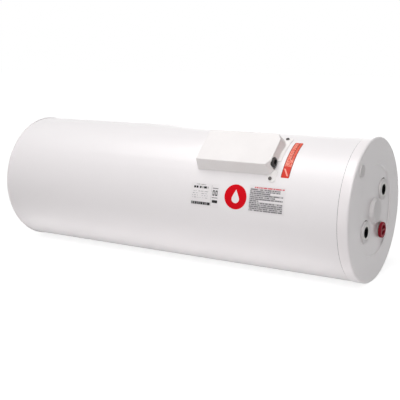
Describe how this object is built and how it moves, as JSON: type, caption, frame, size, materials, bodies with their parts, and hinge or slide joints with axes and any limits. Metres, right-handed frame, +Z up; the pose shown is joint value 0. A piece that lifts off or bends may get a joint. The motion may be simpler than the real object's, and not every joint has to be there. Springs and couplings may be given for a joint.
{
  "type": "storage water heater",
  "caption": "Horizontal cylindrical electric storage water heater with a white jacket, threaded pipe sockets on one end and a removable terminal cover.",
  "frame": {"origin": "lowest line of the jacket, halfway along the heater", "axes": "+X along the heater's axis towards the pipe end, +Z up as it lies, -Y towards the front with the labels"},
  "size_m": [1.075, 0.3626, 0.3668],
  "materials": {
    "casing_white": "gloss white powder coat",
    "cap_white": "gloss white powder coat",
    "plug_white": "moulded white plastic",
    "cover_plastic": "moulded white plastic",
    "foam": "rigid polyurethane foam",
    "tank_steel": "dark enamelled steel",
    "socket_steel": "zinc plated steel",
    "collar_plastic": "moulded white plastic",
    "plug_red": "moulded red plastic",
    "seal_rubber": "rubber",
    "tube_plastic": "moulded plastic",
    "brass": "turned brass",
    "magnesium": "cast magnesium",
    "zinc_steel": "zinc plated steel",
    "screw_dark": "blackened steel",
    "gland_black": "moulded black plastic",
    "copper": "copper",
    "insulator": "ceramic",
    "control_black": "moulded black phenolic",
    "dial_grey": "moulded grey plastic",
    "button_red": "moulded red plastic",
    "block_cream": "moulded cream plastic",
    "wire_brown": "wire insulation",
    "wire_blue": "wire insulation",
    "wire_black": "wire insulation",
    "wire_green": "wire insulation",
    "label_white": "printed film",
    "label_grey": "printed film",
    "label_red": "printed film",
    "badge_red": "gloss sticker"
  },
  "bodies": {
    "heater": {"jacket": "casing_white", "blind_end_cap": "cap_white", "pipe_end_cap": "cap_white", "foam_fill_plug": "plug_white", "foam_insulation": "foam", "tank_shell": "tank_steel", "blind_tank_head": "tank_steel", "pipe_tank_head": "tank_steel", "hot_outlet_socket": "socket_steel", "cold_inlet_socket": "socket_steel", "relief_valve_socket": "socket_steel", "hot_socket_ring": "collar_plastic", "cold_socket_ring": "collar_plastic", "hot_pickup_tube": "tube_plastic", "cold_inlet_tube": "tube_plastic", "anode_boss": "socket_steel", "anode_gasket": "seal_rubber", "anode_plug": "brass", "anode_rod": "magnesium", "anode_core": "zinc_steel", "anode_access_cap": "collar_plastic", "transport_plug": "plug_red", "plug_gasket": "seal_rubber", "cavity_liner": "tube_plastic", "gland_bracket": "zinc_steel", "bracket_rivets": "zinc_steel", "cable_gland": "gland_black", "gland_locknut": "gland_black", "earth_screw": "brass", "terminal_block": "block_cream", "block_screws": "brass", "element_spud": "socket_steel", "element_seal": "seal_rubber", "element_plug": "brass", "element_hairpin": "copper", "element_insulators": "insulator", "element_terminals": "brass", "control_clip": "zinc_steel", "thermostat_body": "control_black", "cutout_body": "control_black", "link_bar": "copper", "control_screws": "brass", "line_wire": "wire_brown", "neutral_wire": "wire_blue", "load_wire": "wire_black", "earth_wire": "wire_green", "rating_label": "label_white", "panel_label": "label_grey", "strip_label": "label_red", "round_badge": "badge_red"},
    "cover": {"terminal_cover": "cover_plastic", "cover_screws": "screw_dark"},
    "dial": {"thermostat_dial": "dial_grey"},
    "button": {"reset_button": "button_red"}
  },
  "joints": [
    {"name": "cover_lift", "type": "slide", "parent": "heater", "child": "cover", "axis": [0, -0.6691, 0.7431], "range_m": [0, 0.12]},
    {"name": "dial_turn", "type": "hinge", "parent": "heater", "child": "dial", "pos_m": [0.239, -0.12179, 0.31377], "axis": [0, -0.6691, 0.7431], "range_deg": [-135, 135]},
    {"name": "reset_press", "type": "slide", "parent": "heater", "child": "button", "axis": [0, 0.6691, -0.7431], "range_m": [0, 0.0015], "stiffness_N_per_m": 800, "springref_m": -0.002}
  ]
}
